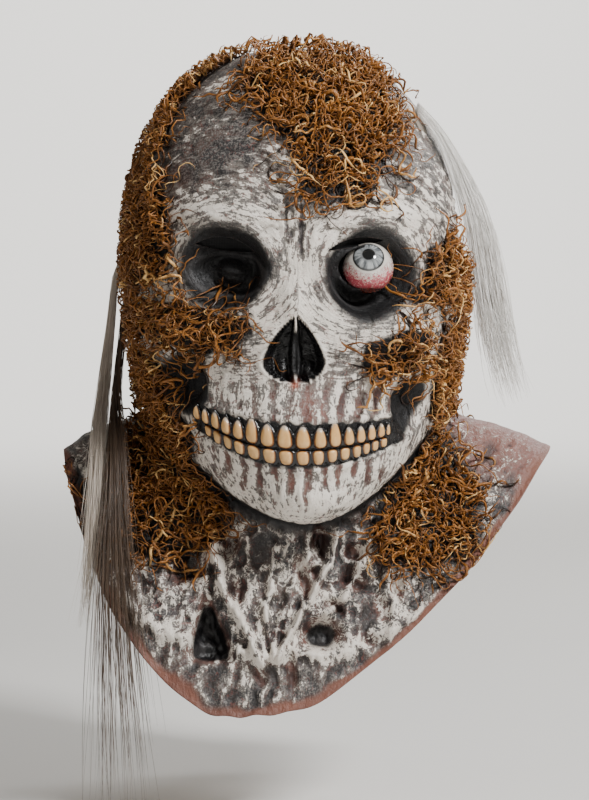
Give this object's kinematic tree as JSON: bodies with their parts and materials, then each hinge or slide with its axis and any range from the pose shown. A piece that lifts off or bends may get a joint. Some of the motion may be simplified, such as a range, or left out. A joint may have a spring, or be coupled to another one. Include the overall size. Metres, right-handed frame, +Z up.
{
  "type": "latex halloween mask",
  "caption": "Full-head skull mask in painted latex with neck and chest bib, cast teeth, a bulging resin eye, glued moss tufts and loose hair.",
  "frame": {"origin": "middle of the crown pad's flat underside, which rests on the top of the wearer's head", "axes": "+Z up, the face looks along -Y, +X is the wearer's left"},
  "size_m": [0.3077, 0.2594, 0.4712],
  "materials": {
    "painted_latex": "matt, dry-brushed",
    "cast_teeth": "satin",
    "eye_resin": "clear-coated",
    "moss": "dry fibre",
    "grey_hair": "soft fibre",
    "brown_hair": "soft fibre",
    "bonding_latex": "matt",
    "gauze": "open weave",
    "foam": "open cell"
  },
  "bodies": {
    "mask": {"mask_skin": "painted_latex", "left_eyeball": "eye_resin", "upper_teeth": "cast_teeth", "lower_teeth": "cast_teeth", "crown_pad": "foam", "right_temple_pad": "foam", "left_temple_pad": "foam", "right_eye_gauze": "gauze", "left_eye_gauze": "gauze", "left_hair_tab": "bonding_latex", "right_hair_tab": "bonding_latex", "rear_hair_tab": "bonding_latex", "crown_moss": "moss", "right_crown_moss": "moss", "right_temple_moss": "moss", "right_cheek_moss": "moss", "right_jaw_moss": "moss", "right_neck_moss": "moss", "right_shoulder_moss": "moss", "left_temple_moss": "moss", "left_cheek_moss": "moss", "left_jaw_moss": "moss", "left_chest_moss": "moss", "rear_crown_moss": "moss", "nape_moss": "moss"},
    "left_hair": {"left_hair_lock": "grey_hair"},
    "right_hair": {"right_grey_lock": "grey_hair", "right_brown_lock": "brown_hair"},
    "rear_hair": {"rear_hair_lock": "grey_hair"}
  },
  "joints": [
    {"name": "left_hair_lift", "type": "hinge", "parent": "mask", "child": "left_hair", "pos_m": [0.0751, -0.0364, -0.0147], "axis": [0, -1, 0], "range_deg": [0, 40]},
    {"name": "right_hair_lift", "type": "hinge", "parent": "mask", "child": "right_hair", "pos_m": [-0.0955, 0.0634, -0.0875], "axis": [0, 1, 0], "range_deg": [0, 40]},
    {"name": "rear_hair_lift", "type": "hinge", "parent": "mask", "child": "rear_hair", "pos_m": [0, 0.1222, -0.1223], "axis": [1, 0, 0], "range_deg": [0, 40]}
  ]
}
